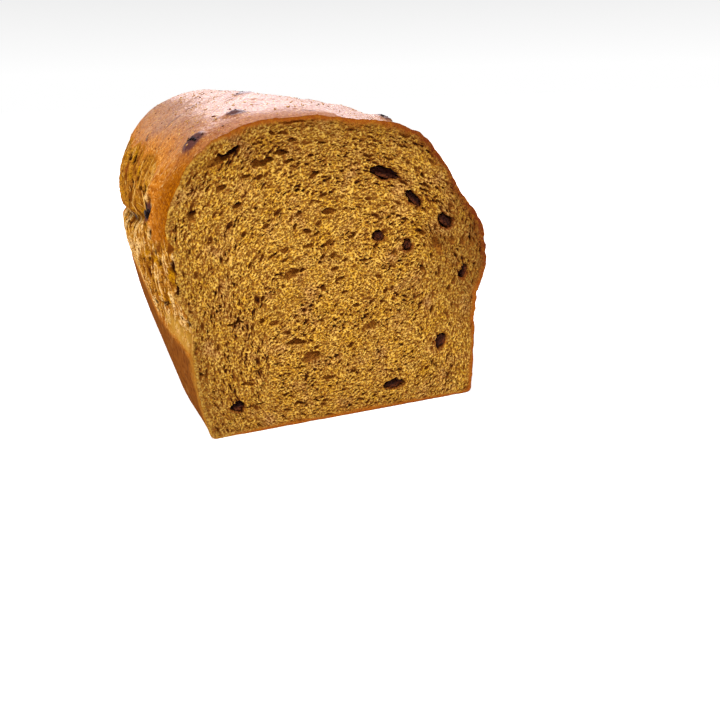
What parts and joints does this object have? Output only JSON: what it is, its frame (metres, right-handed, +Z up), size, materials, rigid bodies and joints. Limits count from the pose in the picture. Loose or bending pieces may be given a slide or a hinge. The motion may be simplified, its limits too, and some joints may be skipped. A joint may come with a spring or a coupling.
{
  "type": "sliced raisin bread loaf",
  "caption": "Tin-baked raisin bread loaf with a domed crown and torn sides, cut through at one end so that its raisin-studded crumb shows; it stands on its flat base.",
  "frame": {"origin": "middle of the loaf's box at the height of its flat base", "axes": "+Y along the loaf from the cut face to the far end, +Z up, +X to the right seen from in front of the cut face"},
  "size_m": [0.1382, 0.2, 0.1282],
  "materials": {
    "bread": "baked wheat dough: open ochre crumb on the cut, thin matt brown crust outside",
    "raisin": "dried grape skin, wrinkled, with a dull sheen"
  },
  "bodies": {
    "root": {"loaf": "bread", "raisin_cut_1": "raisin", "raisin_cut_2": "raisin", "raisin_cut_3": "raisin", "raisin_cut_4": "raisin", "raisin_cut_5": "raisin", "raisin_cut_6": "raisin", "raisin_cut_7": "raisin", "raisin_cut_8": "raisin", "raisin_cut_9": "raisin", "raisin_side_1": "raisin", "raisin_side_2": "raisin", "raisin_crown_1": "raisin", "raisin_crown_2": "raisin", "raisin_crown_3": "raisin", "raisin_crown_4": "raisin"}
  },
  "joints": []
}
